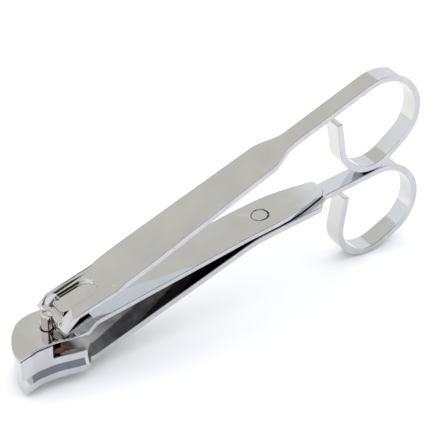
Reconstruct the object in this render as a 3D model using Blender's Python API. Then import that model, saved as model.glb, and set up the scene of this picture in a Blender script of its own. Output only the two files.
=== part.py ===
"""Toenail clipper with two finger loops, all chromed steel.

Five pieces: a lower arm (jaw cup, arm and finger loop in one strip), an upper arm riveted on top of it,
a thumb lever (legs, heel, plate and thumb loop in one strip), the post that the lever hooks onto, and the rivet.

World frame in metres, +Z up: +X runs from the jaws to the loops, Y = 0 is the middle of the arms, and the clipper
stands on the front edge of its lower jaw and the bottom of its finger loop, at Z = 0. All but the jaws' nose is
symmetric about Y = 0: the nose has a corner at the front on the -Y side and a round sweep back to the +Y side.
Lengths below are in mm, and X is counted from a drawing origin that CENTRE_X moves to the middle of the length.
"""

import math

import bmesh
import bpy
from mathutils import Vector

MM = 0.001
GAP = 0.3  # play kept between two pieces that meet
CENTRE_X = 5.247  # middle of the clipper's length in the drawing below, which becomes X = 0

# Sheet thicknesses and strip widths
LOWER_SHEET = 1.8
UPPER_SHEET = 1.4
LEVER_SHEET = 1.7
STRIP_HALF = 2.65  # half the width of the narrow strips that carry the loops

# Flat parts of the two jaws, measured to their top faces; in front of them the nose droops
LOWER_JAW_TOP = 4.6
UPPER_JAW_TOP = 13.4
DROOP_START_X = -51.0
DROOP = 0.17

# Nose of the jaws, seen from above: a corner on the -Y side, then a quarter of an ellipse to the +Y side
NOSE_CORNER = (-56.4, -5.8)
NOSE_ARC_END = (-44.5, 7.6)
NOSE_POINTS = 20
WAIST_POINTS = 8  # along the ease from the -Y side to the rear
SIDE_POINTS = 6  # along each straight stretch of the -Y side
NEAR_SIDE = ((-53.3, -6.35), (-47.4, -6.25))  # the -Y side between the corner and the windows
RIM_SHEET = 0.5  # what is left of the upper jaw over the lower jaw's rim and windows
NOSE_WALL = 1.7
LEDGE = 0.75  # how far the lower jaw's sheet stands out beside its wall
SETBACK = 1.1  # how far the same sheet lies back under the wall at the front
LIP = 0.2  # height of the wall's foot over the sheet, before it slopes back to the wall
FILLET_RISE = 2.0  # height over the sheet where that slope ends

# Side windows of the lower jaw, behind its cutting rim
WINDOW_FRONT_X = -47.0
WINDOW_SILL = 8.7
CUP_REAR_X = -38.0

# Lower arm
LOWER_ARM_HALF = 6.0
LOWER_BEND_X = -35.2
LOWER_REAR_BEND = (13.0, 20.98)
LOWER_SHOULDER_X = (32.5, 37.2)
LOWER_BEND_RADII = (8.0, 25.0)
LOWER_EASE = 2.0  # length over which the jaw's sheet narrows to the arm

# Upper arm
UPPER_ARM_HALF = 5.8
UPPER_BEND_X = -42.0
UPPER_REAR_BEND_X = 11.4
UPPER_TAIL_X = 36.5
UPPER_TAIL = ((20.0, 5.8), (24.0, 5.5), (27.5, 4.9), (30.5, 4.2), (33.0, 3.5), (35.0, 3.0), (36.1, 2.5))
UPPER_TAIL_END_HALF = 2.0
UPPER_HINGE = (30.0, 0.0, 23.2)
UPPER_BEND_RADII = (12.0, 25.0)
UPPER_EASE = 5.0

# Lever
LEVER_LEG_FOOT = (-44.3, 15.9)
LEVER_FRONT = (-40.1, 19.5)
LEVER_KNEE = (-29.0, 22.3)
LEVER_FRONT_HALF = 6.5
LEVER_REAR_HALF = 5.4
LEVER_TAPER_START_X = -18.0
LEVER_SHOULDER_X = (18.5, 27.0)
LEG_INNER_HALF = 3.4
LEVER_BEND_RADII = (LEVER_SHEET + 0.4, 40.0)
WINDOW_REAR_X = LEVER_FRONT[0] + 0.2  # rear end of the opening between the legs

# Loops: two arcs each, given by centre and outer radius, joined by their common tangent
THUMB_BACK = ((54.3, 41.2), 12.2)
THUMB_FRONT = ((51.3, 36.3), 10.1)
THUMB_HEADINGS = (21.0, -143.0, -262.0)
FINGER_BACK = ((54.9, 14.0), 12.0)
FINGER_FRONT = ((51.3, 10.1), 10.1)
FINGER_HEADINGS = (7.0, -153.7, -280.0)
LOOP_END = 8.8  # straight end of each loop's strip
ARC_STEP = 6.0  # degrees between points along an arc

# Post
POST_X = -45.0
POST_RADIUS = 1.5
POST_TOP = 18.2
POST_DOME = 0.7
POST_NOTCH_X = -44.65
POST_NOTCH_Z = (15.3, 17.4)
POST_FOOT_RADIUS = 2.7
POST_FOOT_THICKNESS = 0.9

# Bar across the lever's feet, which hooks into the post's notch
BAR_X = (-44.25, -42.2)
BAR_Z = (15.7, 17.1)
BAR_ROOT = 1.0  # how far each end of the bar runs into its leg

# Heel: the tongue cut from the lever's window, folded back under it
HEEL_HALF = 2.6
HEEL_SHEET = 1.4
HEEL_FOLD_CENTRE = (-39.9, 17.6)
HEEL_FOLD_RADIUS = 1.9
HEEL_REAR = (-34.0, 16.62)
HEEL_ROOT_X = -37.0  # the tongue's top layer runs back to here, inside the lever's sheet

# Half-round pocket pressed into the lever's front
POCKET_RADIUS = 3.4
POCKET_CENTRE_X = -34.4
POCKET_DEPTH = 0.9
POCKET_FLOOR_X = (-41.6, -25.0)  # its floor follows the lever's top face between these
POCKET_FRONT_X = -44.1

# Flanks pressed down beside the pocket: X of their front, of their rear corner and of their run-out's end
FLANK_X = (-41.5, -28.5, -25.5)
FLANK_INNER_HALF = (3.6, 4.3)
FLANK_DROP = (0.85, 0.6)
FLANK_OVERRUN = 0.5  # how far the tools that press them run out past the lever's sides

# Rivet
RIVET_X = 18.2
RIVET_RADIUS = 2.1
RIVET_SHANK_RADIUS = 1.7
RIVET_HEAD_RADIUS = 3.1
RIVET_HEAD_THICKNESS = 0.8
RIVET_HEAD_CHAMFER = 0.3

ROUND_SIDES = 40
REACH = 30.0  # cutters and blanks run this far past what they shape
SHEET_START_X = NOSE_CORNER[0] - 1.0  # the jaws' bent sheets start here, and the nose's outline trims them


# ---------------------------------------------------------------- outlines


def arc_by_heading(centre, radius, start, end):
    """Points of a right-hand bend, between two headings in degrees; a heading of 0 runs along +X."""
    steps = max(2, round(abs(end - start) / ARC_STEP))
    points = []
    for i in range(steps + 1):
        heading = math.radians(start + (end - start) * i / steps)
        points.append((centre[0] - radius * math.sin(heading), centre[1] + radius * math.cos(heading)))
    return points


def round_corners(corners, radii):
    """A path through corners, each inner corner rounded with its own bend radius."""
    path = [corners[0]]
    for before, corner, after, radius in zip(corners, corners[1:], corners[2:], radii):
        at = Vector(corner)
        back = (Vector(before) - at).normalized()
        ahead = (Vector(after) - at).normalized()
        half = back.angle(ahead) / 2
        centre = at + (back + ahead).normalized() * (radius / math.sin(half))
        turn = math.pi - 2 * half
        steps = max(2, round(math.degrees(turn) / ARC_STEP))
        start = at + back * (radius / math.tan(half)) - centre
        side = 1 if back.x * ahead.y - back.y * ahead.x < 0 else -1
        for i in range(steps + 1):
            angle = side * turn * i / steps
            cos, sin = math.cos(angle), math.sin(angle)
            path.append((centre.x + start.x * cos - start.y * sin, centre.y + start.x * sin + start.y * cos))
    path.append(corners[-1])
    return path


def offset_path(path, distance):
    """The path moved to its right by a distance, with mitred corners."""
    points = [Vector(p) for p in path]
    moved = []
    for i, point in enumerate(points):
        before = (point - points[i - 1]).normalized() if i else None
        after = (points[i + 1] - point).normalized() if i + 1 < len(points) else None
        before = before or after
        after = after or before
        along = (before + after).normalized()
        stretch = 1 / max(0.5, along.dot(before))
        moved.append((point.x + along.y * distance * stretch, point.y - along.x * distance * stretch))
    return moved


def sheet_profile(path, thickness):
    """Side outline of a bent sheet whose upper or outer face follows the path."""
    return path + offset_path(path, thickness)[::-1]


def loop_path(back, front, headings):
    """Outer face of a finger loop, from where its strip starts to bend to the strip's end."""
    path = arc_by_heading(*back, headings[0], headings[1])
    path += arc_by_heading(*front, headings[1], headings[2])
    last = math.radians(headings[2])
    path.append((path[-1][0] + LOOP_END * math.cos(last), path[-1][1] + LOOP_END * math.sin(last)))
    return path


def eased(x, start, end):
    """0 before start, 1 after end, and a smooth rise between them."""
    t = min(1.0, max(0.0, (x - start) / (end - start)))
    return t * t * (3 - 2 * t)


def droop(x):
    """How far the nose has bent down at an X."""
    return DROOP * max(0.0, DROOP_START_X - x) ** 1.5


def drooping(z, first_x, last_x, step=0.5):
    """Path of a level that droops in front of DROOP_START_X."""
    count = round((last_x - first_x) / step)
    xs = [first_x + (last_x - first_x) * i / count for i in range(count + 1)]
    return [(x, z - droop(x)) for x in xs]


def nose_outline(side=0.0, front=0.0):
    """Outline of the jaws' nose, from its rear on the -Y side round to its rear on the +Y side, with its sides moved
    out by side and its front moved forward by front."""
    rear_x = CUP_REAR_X
    rear_half = NOSE_ARC_END[1] + side
    points = [(rear_x, -rear_half)]
    waist = (NEAR_SIDE[1][0], NEAR_SIDE[1][1] - side)
    for i in range(1, WAIST_POINTS + 1):
        x = rear_x + (waist[0] - rear_x) * i / WAIST_POINTS
        points.append((x, -rear_half + (waist[1] + rear_half) * eased(-x, -rear_x, -waist[0])))
    corner = (NOSE_CORNER[0] - front, NOSE_CORNER[1] - side)
    middle = (NEAR_SIDE[0][0], NEAR_SIDE[0][1] - side)
    for first, last in ((waist, middle), (middle, corner)):
        for i in range(1, SIDE_POINTS + 1):
            points.append(tuple(Vector(first).lerp(Vector(last), i / SIDE_POINTS)))
    points.pop()
    length = NOSE_ARC_END[0] - corner[0]
    width = rear_half - corner[1]
    for i in range(NOSE_POINTS + 1):
        angle = math.pi / 2 * i / NOSE_POINTS
        points.append((NOSE_ARC_END[0] - length * math.cos(angle), corner[1] + width * math.sin(angle)))
    points.append((rear_x, rear_half))
    return points


def eased_outline(start_x, end_x, half_start, half_end, steps=10):
    """Half outline that eases from one half width to another."""
    points = []
    for i in range(steps + 1):
        x = start_x + (end_x - start_x) * i / steps
        points.append((x, half_start + (half_end - half_start) * eased(x, start_x, end_x)))
    return points


# ---------------------------------------------------------------- solids


def material(name, colour, roughness):
    """Polished chrome in a given tone."""
    made = bpy.data.materials.new(name)
    made.use_nodes = True
    shader = made.node_tree.nodes["Principled BSDF"]
    shader.inputs["Base Color"].default_value = (*colour, 1.0)
    shader.inputs["Metallic"].default_value = 1.0
    shader.inputs["Roughness"].default_value = roughness
    return made


def add_object(name, mesh_maker, origin=(0.0, 0.0, 0.0)):
    """A named object at an origin, in mm, whose mesh mesh_maker fills in the drawing's coordinates, in mm."""
    mesh = bpy.data.meshes.new(name)
    made = bpy.data.objects.new(name, mesh)
    bpy.context.scene.collection.objects.link(made)
    work = bmesh.new()
    mesh_maker(work)
    for vertex in work.verts:
        vertex.co = (vertex.co - Vector(origin)) * MM
    bmesh.ops.recalc_face_normals(work, faces=work.faces)
    work.to_mesh(mesh)
    work.free()
    made.location = (Vector(origin) - Vector((CENTRE_X, 0.0, 0.0))) * MM
    return made


def prism(points, axis, low, high):
    """A mesh maker for an outline extruded along an axis: XZ points along Y, or XY points along Z."""

    def fill(work):
        def place(point, depth):
            return (point[0], depth, point[1]) if axis == "Y" else (point[0], point[1], depth)

        corners = [work.verts.new(place(p, low)) for p in points]
        face = work.faces.new(corners)
        grown = bmesh.ops.extrude_face_region(work, geom=[face])
        shift = Vector(place((0.0, 0.0), high - low))
        moved = [item for item in grown["geom"] if isinstance(item, bmesh.types.BMVert)]
        bmesh.ops.translate(work, vec=shift, verts=moved)

    return fill


def turned(profile, centre_x):
    """A mesh maker for a round piece on a vertical axis: profile is (radius, z) from top to bottom, on the axis at
    both ends."""

    def fill(work):
        verts = [work.verts.new((centre_x + r, 0.0, z)) for r, z in profile]
        edges = [work.edges.new(pair) for pair in zip(verts, verts[1:])]
        bmesh.ops.spin(
            work,
            geom=verts + edges,
            axis=(0.0, 0.0, 1.0),
            cent=(centre_x, 0.0, 0.0),
            steps=ROUND_SIDES,
            angle=2 * math.pi,
        )
        bmesh.ops.remove_doubles(work, verts=work.verts, dist=1e-4)

    return fill


def block(x, y_half, z):
    """A mesh maker for a box centred on the plane of symmetry."""
    outline = [(x[0], z[0]), (x[1], z[0]), (x[1], z[1]), (x[0], z[1])]
    return prism(outline, "Y", -y_half, y_half)


def loft(rings):
    """A mesh maker through closed rings of equally many points, from the lowest ring to the highest."""

    def fill(work):
        made = [[work.verts.new(point) for point in ring] for ring in rings]
        for lower, upper in zip(made, made[1:]):
            for i, corner in enumerate(lower):
                j = (i + 1) % len(lower)
                work.faces.new((corner, lower[j], upper[j], upper[i]))
        work.faces.new(made[0][::-1])
        work.faces.new(made[-1])
        bmesh.ops.triangulate(work, faces=[face for face in work.faces if len(face.verts) == 4])

    return fill


def hull(points):
    """A mesh maker for the convex hull of some points."""

    def fill(work):
        verts = [work.verts.new(point) for point in points]
        bmesh.ops.convex_hull(work, input=verts)

    return fill


def around(nose, half_outline):
    """A closed plan outline from the nose's outline and the half outline, y above zero, of what lies behind it."""
    return nose + half_outline + [(x, -y) for x, y in reversed(half_outline)]


def hollow_outline(inset):
    """A closed plan outline as far inside the nose's outline as the inset, and open to the rear."""
    outline = nose_outline(-inset, -inset)
    return [(REACH, outline[0][1])] + outline + [(REACH, outline[-1][1])]


def mirrored(half_outline):
    """A closed plan outline from its half with y above zero, listed from front to rear."""
    return half_outline + [(x, -y) for x, y in reversed(half_outline)]


def shape(target, operation, name, mesh_maker):
    """A live Boolean on the target, with its own hidden tool object."""
    tool = add_object(name, mesh_maker)
    tool.hide_render = True
    tool.display_type = "WIRE"
    modifier = target.modifiers.new(name, "BOOLEAN")
    modifier.operation = operation
    modifier.solver = "EXACT"
    modifier.object = tool
    return tool


def finish(target, made_material):
    """Smooth shading between the sharp edges, and the piece's material."""
    target.data.materials.append(made_material)
    target.data.shade_smooth()
    target.data.set_sharp_from_angle(angle=math.radians(30))


# ---------------------------------------------------------------- shared paths


def lower_rear_top(x):
    """Height of the lower arm's top face where the upper arm lies on it."""
    bend_x, bend_z = LOWER_REAR_BEND
    return bend_z + (x - bend_x) * math.tan(math.radians(FINGER_HEADINGS[0]))


def upper_path():
    """Upper arm's top face, from its cutting edge to its tail."""
    lift = UPPER_SHEET + GAP
    corners = [
        (DROOP_START_X, UPPER_JAW_TOP),
        (UPPER_BEND_X, UPPER_JAW_TOP),
        (UPPER_REAR_BEND_X, lower_rear_top(UPPER_REAR_BEND_X) + lift),
        (UPPER_TAIL_X + REACH, lower_rear_top(UPPER_TAIL_X + REACH) + lift),
    ]
    return drooping(UPPER_JAW_TOP, SHEET_START_X, DROOP_START_X)[:-1] + round_corners(corners, UPPER_BEND_RADII)


def lever_top(x):
    """Height of the lever's top face between its front and its loop."""
    front_x, front_z = LEVER_FRONT
    knee_x, knee_z = LEVER_KNEE
    if x < knee_x:
        return front_z + (x - front_x) * (knee_z - front_z) / (knee_x - front_x)
    return knee_z + (x - knee_x) * math.tan(math.radians(THUMB_HEADINGS[0]))


def lower_path():
    """Lower arm's top face, from the front of its jaw to the end of its finger loop."""
    loop = loop_path(FINGER_BACK, FINGER_FRONT, FINGER_HEADINGS)
    corners = [(DROOP_START_X, LOWER_JAW_TOP), (LOWER_BEND_X, LOWER_JAW_TOP), LOWER_REAR_BEND, loop[0]]
    front = drooping(LOWER_JAW_TOP, SHEET_START_X, DROOP_START_X)[:-1]
    return front + round_corners(corners, LOWER_BEND_RADII)[:-1] + loop


# ---------------------------------------------------------------- pieces


def lower_arm(chrome):
    """Jaw cup, arm and finger loop."""
    piece = add_object("lower_jaw_arm", prism(sheet_profile(lower_path(), LOWER_SHEET), "Y", -REACH, REACH))
    arm = eased_outline(CUP_REAR_X, CUP_REAR_X + LOWER_EASE, NOSE_ARC_END[1] + LEDGE, LOWER_ARM_HALF, 4)
    arm += eased_outline(*LOWER_SHOULDER_X, LOWER_ARM_HALF, STRIP_HALF)
    arm.append((REACH * 3, STRIP_HALF))
    outline = nose_outline(LEDGE, -SETBACK)[1:-1]
    shape(piece, "INTERSECT", "lower_blank", prism(around(outline, arm), "Z", -REACH, REACH * 3))

    foot = nose_outline(LEDGE, -SETBACK)
    side = nose_outline()
    low = [(x, y, -REACH) for x, y in foot]
    lip = [(x, y, LOWER_JAW_TOP + LIP - droop(x)) for x, y in foot]
    fillet = [(x, y, LOWER_JAW_TOP + FILLET_RISE - droop(x)) for x, y in nose_outline(0.0, -SETBACK / 2)]
    high = [(x, y, REACH) for x, y in side]
    wall = add_object("lower_wall", loft((low, lip, fillet, high)))
    wall.hide_render = True
    wall.display_type = "WIRE"
    rim = offset_path(upper_path(), RIM_SHEET + GAP)
    rim = [p for p in rim if p[0] < CUP_REAR_X]
    middle = offset_path(lower_path(), LOWER_SHEET / 2)
    middle = [p for p in middle if p[0] < CUP_REAR_X]
    profile = rim + [(CUP_REAR_X, rim[-1][1]), (CUP_REAR_X, middle[-1][1])] + middle[::-1]
    shape(wall, "INTERSECT", "lower_wall_side", prism(profile, "Y", -REACH, REACH))
    shape(wall, "DIFFERENCE", "lower_hollow", prism(hollow_outline(NOSE_WALL), "Z", LOWER_JAW_TOP, REACH))
    shape(wall, "DIFFERENCE", "lower_windows", block((WINDOW_FRONT_X, REACH), REACH, (WINDOW_SILL, REACH)))
    join = piece.modifiers.new("lower_wall", "BOOLEAN")
    join.operation = "UNION"
    join.solver = "EXACT"
    join.object = wall

    hole = POST_RADIUS + GAP
    shape(piece, "DIFFERENCE", "lower_post_hole", turned([(0, 9), (hole, 9), (hole, -9), (0, -9)], POST_X))
    hole = RIVET_SHANK_RADIUS + GAP
    shape(piece, "DIFFERENCE", "lower_rivet_hole", turned([(0, 40), (hole, 40), (hole, 0), (0, 0)], RIVET_X))
    finish(piece, chrome)
    return piece


def upper_arm(chrome, hinge):
    """Upper jaw and arm, thinned over the lower jaw's wall; its origin is on the axis that it opens about."""
    profile = sheet_profile(upper_path(), UPPER_SHEET)
    piece = add_object("upper_jaw_arm", prism(profile, "Y", -REACH, REACH), hinge)
    arm = eased_outline(CUP_REAR_X, CUP_REAR_X + UPPER_EASE, NOSE_ARC_END[1], UPPER_ARM_HALF, 6)
    arm += [*UPPER_TAIL, (UPPER_TAIL_X, UPPER_TAIL_END_HALF)]
    shape(piece, "INTERSECT", "upper_blank", prism(around(nose_outline()[1:-1], arm), "Z", -REACH, REACH * 3))
    under = [p for p in offset_path(upper_path(), RIM_SHEET) if p[0] < CUP_REAR_X]
    under += [(CUP_REAR_X, under[-1][1]), (CUP_REAR_X, 0.0), (under[0][0], 0.0)]
    relief = shape(piece, "DIFFERENCE", "upper_relief", prism(under, "Y", -REACH, REACH))
    shape(relief, "DIFFERENCE", "upper_relief_core", prism(hollow_outline(NOSE_WALL + GAP), "Z", -REACH, REACH))
    hole = POST_RADIUS + GAP
    shape(piece, "DIFFERENCE", "upper_post_hole", turned([(0, 20), (hole, 20), (hole, 8), (0, 8)], POST_X))
    hole = RIVET_RADIUS + GAP
    shape(piece, "DIFFERENCE", "upper_rivet_hole", turned([(0, 40), (hole, 40), (hole, 0), (0, 0)], RIVET_X))
    finish(piece, chrome)
    return piece


def lever(chrome, hinge):
    """Legs, window, heel, plate and thumb loop; its origin is on its hinge, the bar in the post's notch."""
    loop = loop_path(THUMB_BACK, THUMB_FRONT, THUMB_HEADINGS)
    corners = [LEVER_LEG_FOOT, LEVER_FRONT, LEVER_KNEE, loop[0]]
    path = round_corners(corners, LEVER_BEND_RADII)[:-1] + loop
    piece = add_object("thumb_lever", prism(sheet_profile(path, LEVER_SHEET), "Y", -REACH, REACH), hinge)
    outline = [(-REACH * 2, LEVER_FRONT_HALF), (LEVER_TAPER_START_X, LEVER_FRONT_HALF)]
    outline += eased_outline(*LEVER_SHOULDER_X, LEVER_REAR_HALF, STRIP_HALF)
    outline.append((REACH * 3, STRIP_HALF))
    shape(piece, "INTERSECT", "lever_blank", prism(mirrored(outline), "Z", -REACH, REACH * 3))
    window = [(-REACH * 2, -LEG_INNER_HALF), (WINDOW_REAR_X, -LEG_INNER_HALF)]
    window += [(WINDOW_REAR_X, LEG_INNER_HALF), (-REACH * 2, LEG_INNER_HALF)]
    shape(piece, "DIFFERENCE", "lever_window", prism(window, "Z", 0.0, REACH))
    shape(piece, "UNION", "lever_bar", block(BAR_X, LEG_INNER_HALF + BAR_ROOT, BAR_Z))

    fold = arc_by_heading(HEEL_FOLD_CENTRE, HEEL_FOLD_RADIUS, 0.0, 180.0)
    tongue_path = [(HEEL_ROOT_X, HEEL_FOLD_CENTRE[1] + HEEL_FOLD_RADIUS)] + fold
    tongue_path.append((HEEL_REAR[0], HEEL_REAR[1] - HEEL_SHEET))
    tongue = sheet_profile(tongue_path, -HEEL_SHEET)
    shape(piece, "UNION", "lever_heel", prism(tongue, "Y", -HEEL_HALF, HEEL_HALF))

    floor = [p for p in offset_path(path, POCKET_DEPTH) if POCKET_FLOOR_X[0] < p[0] < POCKET_FLOOR_X[1]]
    over = [(floor[-1][0], REACH), (POCKET_FRONT_X, REACH), (POCKET_FRONT_X, floor[0][1])]
    pocket = shape(piece, "DIFFERENCE", "lever_pocket", prism(floor + over, "Y", -REACH, REACH))
    plan = [(POCKET_FRONT_X, -POCKET_RADIUS)]
    for i in range(ROUND_SIDES // 2 + 1):
        angle = math.pi * (i / (ROUND_SIDES // 2) - 0.5)
        plan.append((POCKET_CENTRE_X + POCKET_RADIUS * math.cos(angle), POCKET_RADIUS * math.sin(angle)))
    plan.append((POCKET_FRONT_X, POCKET_RADIUS))
    shape(pocket, "INTERSECT", "lever_pocket_plan", prism(plan, "Z", 0.0, REACH * 2))
    for side, name in ((-1, "lever_near_flank"), (1, "lever_far_flank")):
        outer = side * (LEVER_FRONT_HALF + FLANK_OVERRUN)
        front, rear, end = FLANK_X
        low = [
            (front, side * FLANK_INNER_HALF[0], lever_top(front)),
            (front, outer, lever_top(front) - FLANK_DROP[0]),
            (rear, side * FLANK_INNER_HALF[1], lever_top(rear)),
            (rear, outer, lever_top(rear) - FLANK_DROP[1]),
            (end, outer, lever_top(end)),
        ]
        high = [(x, y, REACH * 2) for x, y, _ in low]
        shape(piece, "DIFFERENCE", name, hull(low + high))
    finish(piece, chrome)
    return piece


def post(chrome):
    """Round post through both jaws: foot below, notch at the back for the lever's bar, domed head."""
    foot_top = LOWER_JAW_TOP - LOWER_SHEET - GAP
    foot = foot_top - POST_FOOT_THICKNESS
    profile = [(0.0, POST_TOP)]
    for i in range(1, 7):
        angle = math.pi / 2 * i / 6
        profile.append((POST_RADIUS * math.sin(angle), POST_TOP - POST_DOME * (1 - math.cos(angle))))
    profile += [(POST_RADIUS, foot_top), (POST_FOOT_RADIUS, foot_top), (POST_FOOT_RADIUS, foot), (0.0, foot)]
    piece = add_object("pivot_post", turned(profile, POST_X), (POST_X, 0.0, foot_top))
    shape(piece, "DIFFERENCE", "post_notch", block((POST_NOTCH_X, POST_X + REACH), REACH, POST_NOTCH_Z))
    finish(piece, chrome)
    return piece


def rivet(chrome):
    """Rivet that holds the two arms together: flush on top, with a low head underneath."""
    top = lower_rear_top(RIVET_X) + GAP + UPPER_SHEET
    step = lower_rear_top(RIVET_X) + GAP * 0.5
    under = lower_rear_top(RIVET_X) - LOWER_SHEET / math.cos(math.radians(FINGER_HEADINGS[0])) - GAP
    profile = [(0.0, top), (RIVET_RADIUS, top), (RIVET_RADIUS, step)]
    profile += [(RIVET_SHANK_RADIUS, step), (RIVET_SHANK_RADIUS, under), (RIVET_HEAD_RADIUS, under)]
    profile.append((RIVET_HEAD_RADIUS - RIVET_HEAD_CHAMFER, under - RIVET_HEAD_THICKNESS))
    profile.append((0.0, under - RIVET_HEAD_THICKNESS))
    tilt = math.radians(-FINGER_HEADINGS[0])
    piece = add_object("rear_rivet", turned(profile, RIVET_X), (RIVET_X, 0.0, step))
    piece.rotation_euler = (0.0, tilt, 0.0)
    finish(piece, chrome)
    return piece


def main():
    for old in list(bpy.data.objects):
        bpy.data.objects.remove(old)
    lower_arm(material("lower_arm_chrome", (0.80, 0.80, 0.79), 0.06))
    upper_arm(material("upper_arm_chrome", (0.82, 0.81, 0.79), 0.06), UPPER_HINGE)
    bar_centre = (sum(BAR_X) / 2, 0.0, sum(BAR_Z) / 2)
    lever(material("lever_chrome", (0.82, 0.81, 0.79), 0.06), bar_centre)
    post(material("post_chrome", (0.78, 0.77, 0.76), 0.08))
    rivet(material("rivet_chrome", (0.80, 0.80, 0.78), 0.10))


main()
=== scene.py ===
"""Looks of the chromed toenail clipper: rounded edges, polished metal, a pale floor and soft light."""

import math

import bmesh
import bpy
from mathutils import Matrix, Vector


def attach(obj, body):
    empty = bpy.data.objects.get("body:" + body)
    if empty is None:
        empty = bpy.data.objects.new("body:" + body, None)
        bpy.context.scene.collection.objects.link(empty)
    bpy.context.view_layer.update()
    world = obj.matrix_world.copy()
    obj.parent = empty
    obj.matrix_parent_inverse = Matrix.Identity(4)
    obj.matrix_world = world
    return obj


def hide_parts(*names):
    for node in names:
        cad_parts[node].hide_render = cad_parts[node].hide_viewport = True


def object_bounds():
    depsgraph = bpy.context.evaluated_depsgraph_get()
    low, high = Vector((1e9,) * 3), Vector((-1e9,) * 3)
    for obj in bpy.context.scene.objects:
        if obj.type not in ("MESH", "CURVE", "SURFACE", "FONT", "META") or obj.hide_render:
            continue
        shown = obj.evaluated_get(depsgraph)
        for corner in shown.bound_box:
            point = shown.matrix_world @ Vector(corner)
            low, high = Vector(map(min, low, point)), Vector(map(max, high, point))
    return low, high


MM = 0.001

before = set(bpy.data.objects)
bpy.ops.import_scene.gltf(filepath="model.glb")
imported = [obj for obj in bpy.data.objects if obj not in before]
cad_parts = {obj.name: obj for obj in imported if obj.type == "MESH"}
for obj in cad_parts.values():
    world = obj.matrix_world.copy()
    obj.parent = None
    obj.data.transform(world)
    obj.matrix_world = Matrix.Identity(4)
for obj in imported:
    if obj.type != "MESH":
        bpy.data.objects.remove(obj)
cad_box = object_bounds()

# The jaws' hollow, whose outline is an ellipse's quarter at the front and straight behind it
JAW_FRONT_X = cad_box[0][0]
HOLLOW_FRONT_X = JAW_FRONT_X + 3.4 * MM
HOLLOW_ROUND_TO_X = JAW_FRONT_X + 11.9 * MM
HOLLOW_REAR_X = JAW_FRONT_X + 18.6 * MM
HOLLOW_ROUND_LENGTH = 11.1 * MM
HOLLOW_NEAR_Y = -5.5 * MM
HOLLOW_FAR_Y = 6.7 * MM
HOLLOW_LOW_Z = 3.4 * MM
HOLLOW_HIGH_Z = 12.5 * MM
HOLLOW_FADE = 0.2 * MM
HOLLOW_REAR_FADE = 3.0 * MM

# The gap between the arms, from just behind the jaws to where the arms meet
ARM_GAP_FRONT_X = JAW_FRONT_X + 17.0 * MM
ARM_GAP_REAR_X = JAW_FRONT_X + 69.5 * MM
ARM_GAP_FRONT_FADE = 12.0 * MM
ARM_GAP_REAR_FADE = 1.0 * MM


# ---------------------------------------------------------------- nodes


class Nodes:
    """The node tree of a material or world, with short calls for the nodes that they share. A fade is a
    pair: the values where it starts and where it ends."""

    MIX_COLOURS = (6, 7)  # the sockets of a Mix node's two colours
    MIX_RESULT = 2

    def __init__(self, owner, coordinates, curve="LINEAR"):
        owner.use_nodes = True
        self.tree = owner.node_tree
        self.curve = curve
        self.place = self.add("ShaderNodeTexCoord")
        self.position = self.place.outputs[coordinates]
        self.axes = self.split(self.position)

    def add(self, kind):
        return self.tree.nodes.new(kind)

    def link(self, source, target):
        self.tree.links.new(source, target)

    def split(self, vector):
        node = self.add("ShaderNodeSeparateXYZ")
        self.link(vector, node.inputs["Vector"])
        return list(node.outputs)

    def facing(self):
        """The three parts of the surface's normal."""
        return self.split(self.place.outputs["Normal"])

    def noise(self, scale, detail=3.0, stretch=(1.0, 1.0, 1.0)):
        mapping = self.add("ShaderNodeMapping")
        mapping.inputs["Scale"].default_value = stretch
        self.link(self.position, mapping.inputs["Vector"])
        node = self.add("ShaderNodeTexNoise")
        node.inputs["Scale"].default_value = scale
        node.inputs["Detail"].default_value = detail
        self.link(mapping.outputs["Vector"], node.inputs["Vector"])
        return node.outputs["Fac"]

    def ranged(self, value, fade, low, high):
        """low up to the fade's start, high from its end on, and between them in the fade."""
        node = self.add("ShaderNodeMapRange")
        node.interpolation_type = self.curve
        for socket, number in zip(("From Min", "From Max", "To Min", "To Max"), (*fade, low, high)):
            node.inputs[socket].default_value = number
        self.link(value, node.inputs["Value"])
        return node.outputs["Result"]

    def rising(self, value, fade):
        return self.ranged(value, fade, 0.0, 1.0)

    def falling(self, value, fade):
        return self.ranged(value, fade, 1.0, 0.0)

    def mixed(self, factor, first, second):
        """A colour between two, each a colour or another node's output."""
        node = self.add("ShaderNodeMix")
        node.data_type = "RGBA"
        self.link(factor, node.inputs["Factor"])
        for socket, colour in zip(self.MIX_COLOURS, (first, second)):
            if isinstance(colour, tuple):
                node.inputs[socket].default_value = (*colour, 1.0)
            else:
                self.link(colour, node.inputs[socket])
        return node.outputs[self.MIX_RESULT]

    def maths(self, operation, first, second):
        node = self.add("ShaderNodeMath")
        node.operation = operation
        for socket, value in zip(node.inputs, (first, second)):
            if isinstance(value, float):
                socket.default_value = value
            else:
                self.link(value, socket)
        return node.outputs["Value"]

    def product(self, first, *others):
        result = first
        for other in others:
            result = self.maths("MULTIPLY", result, other)
        return result


# ---------------------------------------------------------------- materials


UPWARD = (0.60, 0.80)
DOWNWARD = (-0.80, -0.60)
SIDEWARD = (0.70, 0.90)
OUTLINE_FADE = (0.97, 1.0)


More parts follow.
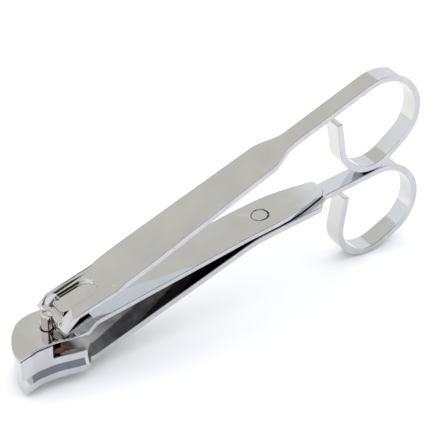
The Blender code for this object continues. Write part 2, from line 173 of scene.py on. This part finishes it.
def inside_jaws(nodes):
    """1 on the faces that look into the jaws' hollow, and 0 outside it. Painted shade goes there."""
    x, y, z = nodes.axes
    ahead = nodes.maths("MINIMUM", nodes.maths("ADD", x, -HOLLOW_ROUND_TO_X), 0.0)
    along = nodes.maths("DIVIDE", ahead, HOLLOW_ROUND_LENGTH)
    across = nodes.maths("DIVIDE", nodes.maths("ADD", y, -HOLLOW_NEAR_Y), HOLLOW_FAR_Y - HOLLOW_NEAR_Y)
    reach = nodes.maths("ADD", nodes.maths("POWER", along, 2.0), nodes.maths("POWER", across, 2.0))
    return nodes.product(
        nodes.falling(reach, OUTLINE_FADE),
        nodes.rising(y, (HOLLOW_NEAR_Y, HOLLOW_NEAR_Y + HOLLOW_FADE)),
        nodes.rising(x, (HOLLOW_FRONT_X, HOLLOW_FRONT_X + HOLLOW_FADE)),
        nodes.falling(x, (HOLLOW_REAR_X, HOLLOW_REAR_X + HOLLOW_REAR_FADE)),
        nodes.rising(z, (HOLLOW_LOW_Z, HOLLOW_LOW_Z + HOLLOW_FADE)),
        nodes.falling(z, (HOLLOW_HIGH_Z - HOLLOW_FADE, HOLLOW_HIGH_Z)),
    )


def between_arms(nodes):
    """1 on the lower arm's upper face in front of where the arms meet, less towards the jaws. Painted shade
    goes there.
    """
    x = nodes.axes[0]
    return nodes.product(
        nodes.rising(nodes.facing()[2], UPWARD),
        nodes.rising(x, (ARM_GAP_FRONT_X, ARM_GAP_FRONT_X + ARM_GAP_FRONT_FADE)),
        nodes.falling(x, (ARM_GAP_REAR_X, ARM_GAP_REAR_X + ARM_GAP_REAR_FADE)),
    )


def underneath(nodes):
    """1 on faces that look down. Painted shade goes there under the upper arm, and a painted reflection under
    the lever.
    """
    return nodes.falling(nodes.facing()[2], DOWNWARD)


def sideways(nodes):
    """1 on the sheared sides of the strips."""
    return nodes.rising(nodes.maths("ABSOLUTE", nodes.facing()[1], 0.0), SIDEWARD)


# The sizes of the metal's details, as how many fit in a metre
CLOUDS = 90.0
PATCHES = 420.0
LINES = 700.0
SPECKS = 2600.0
LINES_ALONG_X = (0.06, 1.0, 1.0)
PATCHES_UPRIGHT = (1.0, 1.0, 0.15)

DULL_TINT = (0.93, 0.93, 0.94)
WORN_TINT = (1.14, 1.10, 1.04)
WORN_EDGES = (0.53, 0.60)
WORN_AMOUNT = 0.8
DUST_ROUGHNESS = 0.05
GRAIN_STRENGTH = 0.10
GRAIN_DEPTH = 0.02 * MM
LINES_IN_GRAIN = 0.3


def tinted(colour, tint):
    return tuple(min(1.0, part * share) for part, share in zip(colour, tint))


def chrome(name, colour, roughness, tones_and_painted_light=()):
    """Polished chrome: faint clouding, fine polishing lines along X, edges worn to a warmer nickel, and
    other tones where each given mask says, painted shade and a painted reflection among them."""
    material = bpy.data.materials.new(name)
    nodes = Nodes(material, "Object")
    shader = nodes.tree.nodes["Principled BSDF"]
    clouds = nodes.noise(CLOUDS)
    specks = nodes.noise(SPECKS, 2.0)
    lines = nodes.noise(LINES, 2.0, LINES_ALONG_X)
    plain = nodes.mixed(nodes.rising(clouds, (0.38, 0.66)), colour, tinted(colour, DULL_TINT))
    edges = nodes.add("ShaderNodeNewGeometry").outputs["Pointiness"]
    tone = nodes.mixed(nodes.ranged(edges, WORN_EDGES, 0.0, WORN_AMOUNT), plain, tinted(colour, WORN_TINT))
    # Each extra tone is laid over the colour by its mask, the painted shade and the painted reflection among
    # them
    for mask, first, second in tones_and_painted_light:
        patches = nodes.rising(nodes.noise(PATCHES, 2.0, PATCHES_UPRIGHT), (0.42, 0.58))
        tone = nodes.mixed(mask(nodes), tone, nodes.mixed(patches, first, second))
    nodes.link(tone, shader.inputs["Base Color"])
    haze = nodes.ranged(lines, (0.35, 0.75), *roughness)
    dust = nodes.ranged(specks, (0.62, 0.74), 0.0, DUST_ROUGHNESS)
    nodes.link(nodes.maths("ADD", haze, dust), shader.inputs["Roughness"])
    shader.inputs["Metallic"].default_value = 1.0
    bump = nodes.add("ShaderNodeBump")
    bump.inputs["Strength"].default_value = GRAIN_STRENGTH
    bump.inputs["Distance"].default_value = GRAIN_DEPTH
    height = nodes.maths("ADD", clouds, nodes.maths("MULTIPLY", lines, LINES_IN_GRAIN))
    nodes.link(height, bump.inputs["Height"])
    nodes.link(bump.outputs["Normal"], shader.inputs["Normal"])
    return material


BOARD_CLOUDS = 6.0
BOARD_DARK = (0.95, 0.95, 0.945)
BOARD_LIGHT = (0.97, 0.97, 0.965)
BOARD_ROUGHNESS = 0.9


def floor_material():
    """Matt white board."""
    material = bpy.data.materials.new("floor_board")
    nodes = Nodes(material, "Object")
    shader = nodes.tree.nodes["Principled BSDF"]
    clouds = nodes.rising(nodes.noise(BOARD_CLOUDS), (0.3, 0.7))
    nodes.link(nodes.mixed(clouds, BOARD_DARK, BOARD_LIGHT), shader.inputs["Base Color"])
    shader.inputs["Roughness"].default_value = BOARD_ROUGHNESS
    shader.inputs["Specular IOR Level"].default_value = 0.0
    return material


# ---------------------------------------------------------------- pieces


ROUNDED_FROM = math.radians(35.0)
ROUNDING_STEPS = 3
SAME_PLACE = 0.06 * MM
SAME_PLANE = math.radians(0.3)
FACE_WEIGHT = 100


def rounded(name, node, body, material, edge, crease=12.0):
    """A CAD node with its flat faces whole again and its sharp edges rounded, standing for that node. edge
    is how far the rounding reaches from an edge, in mm. Edges of more than crease degrees that are too blunt
    to be rounded stay crisp."""
    mesh = bpy.data.meshes.new(name)
    work = bmesh.new()
    work.from_mesh(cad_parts[node].data)
    bmesh.ops.remove_doubles(work, verts=work.verts, dist=SAME_PLACE)
    bmesh.ops.dissolve_limit(work, angle_limit=SAME_PLANE, verts=work.verts, edges=work.edges)
    bmesh.ops.recalc_face_normals(work, faces=work.faces)
    for face in work.faces:
        face.smooth = True
    for line in work.edges:
        line.smooth = not math.radians(crease) < line.calc_face_angle() < ROUNDED_FROM
    work.to_mesh(mesh)
    work.free()
    mesh.materials.append(material)
    piece = bpy.data.objects.new(name, mesh)
    bpy.context.scene.collection.objects.link(piece)
    bevel = piece.modifiers.new("rounded_edges", "BEVEL")
    bevel.width = edge * MM
    bevel.segments = ROUNDING_STEPS
    bevel.limit_method = "ANGLE"
    bevel.angle_limit = ROUNDED_FROM
    bevel.use_clamp_overlap = False
    weighted = piece.modifiers.new("flat_faces_stay_flat", "WEIGHTED_NORMAL")
    weighted.mode = "FACE_AREA"
    weighted.weight = FACE_WEIGHT
    weighted.keep_sharp = True
    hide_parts(node)
    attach(piece, body)


# Coppery and near-black: painted shade in the jaws' hollow, on the arms and on the post inside it
COPPERY_PAINTED_SHADE = (0.16, 0.055, 0.03)
BLACK_PAINTED_SHADE = (0.035, 0.03, 0.03)
# Charcoal and smoky grey: painted shade on the lower arm's upper face between the arms and under the upper
# arm
CHARCOAL_PAINTED_SHADE = (0.24, 0.24, 0.245)
SMOKY_PAINTED_SHADE = (0.17, 0.165, 0.165)
# Pale bluish: a painted reflection on the lever's underside
COOL_PAINTED_REFLECTION = (0.64, 0.70, 0.76)
SHEAR_DARK = (0.53, 0.535, 0.55)
SHEAR_LIGHT = (0.57, 0.575, 0.59)

# Each kind of tone: its mask and its two colours. Apart from SHEARED, they are painted shade and a painted
# reflection.
SHEARED = (sideways, SHEAR_DARK, SHEAR_LIGHT)
PAINTED_SHADE_INSIDE = (inside_jaws, COPPERY_PAINTED_SHADE, BLACK_PAINTED_SHADE)
PAINTED_SHADE_BETWEEN_ARMS = (between_arms, CHARCOAL_PAINTED_SHADE, SMOKY_PAINTED_SHADE)
PAINTED_SHADE_UNDERSIDE = (underneath, CHARCOAL_PAINTED_SHADE, SMOKY_PAINTED_SHADE)
PAINTED_REFLECTION_UNDERSIDE = (underneath, COOL_PAINTED_REFLECTION, COOL_PAINTED_REFLECTION)

BRIGHT = (0.03, 0.08)
HANDLED = (0.04, 0.10)
STRUCK = (0.05, 0.12)

lower_chrome = chrome("lower_chrome", (0.67, 0.665, 0.635), BRIGHT, (SHEARED, PAINTED_SHADE_INSIDE, PAINTED_SHADE_BETWEEN_ARMS))
upper_chrome = chrome("upper_chrome", (0.68, 0.672, 0.625), BRIGHT, (SHEARED, PAINTED_SHADE_INSIDE, PAINTED_SHADE_UNDERSIDE))
lever_metal = chrome("lever_metal", (0.68, 0.672, 0.62), BRIGHT, (SHEARED, PAINTED_REFLECTION_UNDERSIDE))
post_metal = chrome("post_metal", (0.66, 0.60, 0.56), HANDLED, (PAINTED_SHADE_INSIDE,))
rivet_metal = chrome("rivet_metal", (0.67, 0.665, 0.63), STRUCK)
rounded("lower_arm_steel", "lower_jaw_arm", "lower", lower_chrome, 0.22)
rounded("upper_arm_steel", "upper_jaw_arm", "upper", upper_chrome, 0.20)
rounded("lever_steel", "thumb_lever", "lever", lever_metal, 0.16, 9.5)
rounded("post_steel", "pivot_post", "lower", post_metal, 0.10, 25.0)
rounded("rivet_steel", "rear_rivet", "lower", rivet_metal, 0.14, 25.0)


# ---------------------------------------------------------------- stage


# The tent's zones, by direction from the object: X to the loops, Y to the far side, Z up. Pairs are fades.
TENT = (0.74, 0.74, 0.74)
PANEL = (0.97, 1.00, 1.12)
PANEL_FROM_X = (0.325, 0.340)
PANEL_TO_Y = (0.68, 0.70)
PANEL_FROM_Z = (0.0, 0.10)
FRONT_PANEL_TO_X = (-0.38, -0.30)
HAZE = (0.31, 0.33, 0.39)
HAZE_TO_Z = (0.12, 0.20)
DARK = (0.03, 0.03, 0.03)
NEAR_TO_Y = (-0.62, -0.40)
NEAR_FROM_X = (-0.25, -0.10)
NEAR_TO_X = (0.58, 0.68)
NEAR_DARK_TO_Z = (0.72, 0.82)
FAR_FROM_Y = (0.25, 0.45)
FAR_FROM_X = (0.0, 0.10)
FAR_TO_X = (0.40, 0.50)
FAR_DARK_TO_Z = (0.38, 0.44)


def studio_world():
    """A white tent with brighter panels beside the object, dark on the near side and low on the far side."""
    world = bpy.data.worlds.new("studio")
    bpy.context.scene.world = world
    nodes = Nodes(world, "Generated", "SMOOTHSTEP")
    x, y, z = nodes.axes
    beside = nodes.product(
        nodes.rising(x, PANEL_FROM_X), nodes.falling(y, PANEL_TO_Y), nodes.rising(z, PANEL_FROM_Z)
    )
    panels = nodes.maths("MAXIMUM", beside, nodes.falling(x, FRONT_PANEL_TO_X))
    near = nodes.product(
        nodes.falling(y, NEAR_TO_Y), nodes.rising(x, NEAR_FROM_X), nodes.falling(x, NEAR_TO_X)
    )
    haze = nodes.product(near, nodes.falling(z, HAZE_TO_Z))
    near_dark = nodes.product(near, nodes.rising(z, HAZE_TO_Z), nodes.falling(z, NEAR_DARK_TO_Z))
    far_dark = nodes.product(
        nodes.rising(y, FAR_FROM_Y),
        nodes.rising(x, FAR_FROM_X),
        nodes.falling(x, FAR_TO_X),
        nodes.falling(z, FAR_DARK_TO_Z),
    )
    tone = nodes.mixed(panels, TENT, PANEL)
    tone = nodes.mixed(haze, tone, HAZE)
    tone = nodes.mixed(nodes.maths("MAXIMUM", far_dark, near_dark), tone, DARK)
    nodes.link(tone, nodes.tree.nodes["Background"].inputs["Color"])


FLOOR_SIZE = 6.0


def floor():
    bpy.ops.mesh.primitive_plane_add(size=FLOOR_SIZE)
    made = bpy.context.object
    made.name = "floor"
    made.data.materials.append(floor_material())


LAMP_STRENGTH = 1.5
LAMP_SPREAD = math.radians(120.0)


def fill_light():
    """Wide soft light from above that lifts the floor to white. The metal mirrors the world, not the lamp."""
    lamp = bpy.data.lights.new("overhead", "SUN")
    lamp.energy = LAMP_STRENGTH
    lamp.angle = LAMP_SPREAD
    made = bpy.data.objects.new("overhead", lamp)
    made.visible_glossy = False
    bpy.context.scene.collection.objects.link(made)


CAMERA_AZIMUTH = math.radians(-32.859)
CAMERA_ELEVATION = math.radians(34.948)
CAMERA_DISTANCE = 0.650
CAMERA_LENS = 213.2
CAMERA_CLIP_START = 0.01
VIEW_CENTRE = Vector((-0.005247, 0.0, 0.0255))
AIM_RIGHT = 4.532 * MM
AIM_UP = 3.021 * MM


def camera():
    """A long lens that looks down on the clipper from beside the jaws, aimed a little off its centre."""
    flat = math.cos(CAMERA_ELEVATION)
    look_x = -math.sin(CAMERA_AZIMUTH) * flat
    look_y = math.cos(CAMERA_AZIMUTH) * flat
    look = Vector((look_x, look_y, -math.sin(CAMERA_ELEVATION)))
    right = look.cross(Vector((0.0, 0.0, 1.0))).normalized()
    up = right.cross(look)
    made = bpy.data.objects.new("camera", bpy.data.cameras.new("camera"))
    made.data.lens = CAMERA_LENS
    made.data.clip_start = CAMERA_CLIP_START
    made.location = VIEW_CENTRE - look * CAMERA_DISTANCE
    aim = VIEW_CENTRE + right * AIM_RIGHT + up * AIM_UP
    made.rotation_euler = (aim - made.location).to_track_quat("-Z", "Y").to_euler()
    bpy.context.scene.collection.objects.link(made)
    bpy.context.scene.camera = made


studio_world()
floor()
fill_light()
camera()
bpy.context.scene.view_settings.view_transform = "Standard"
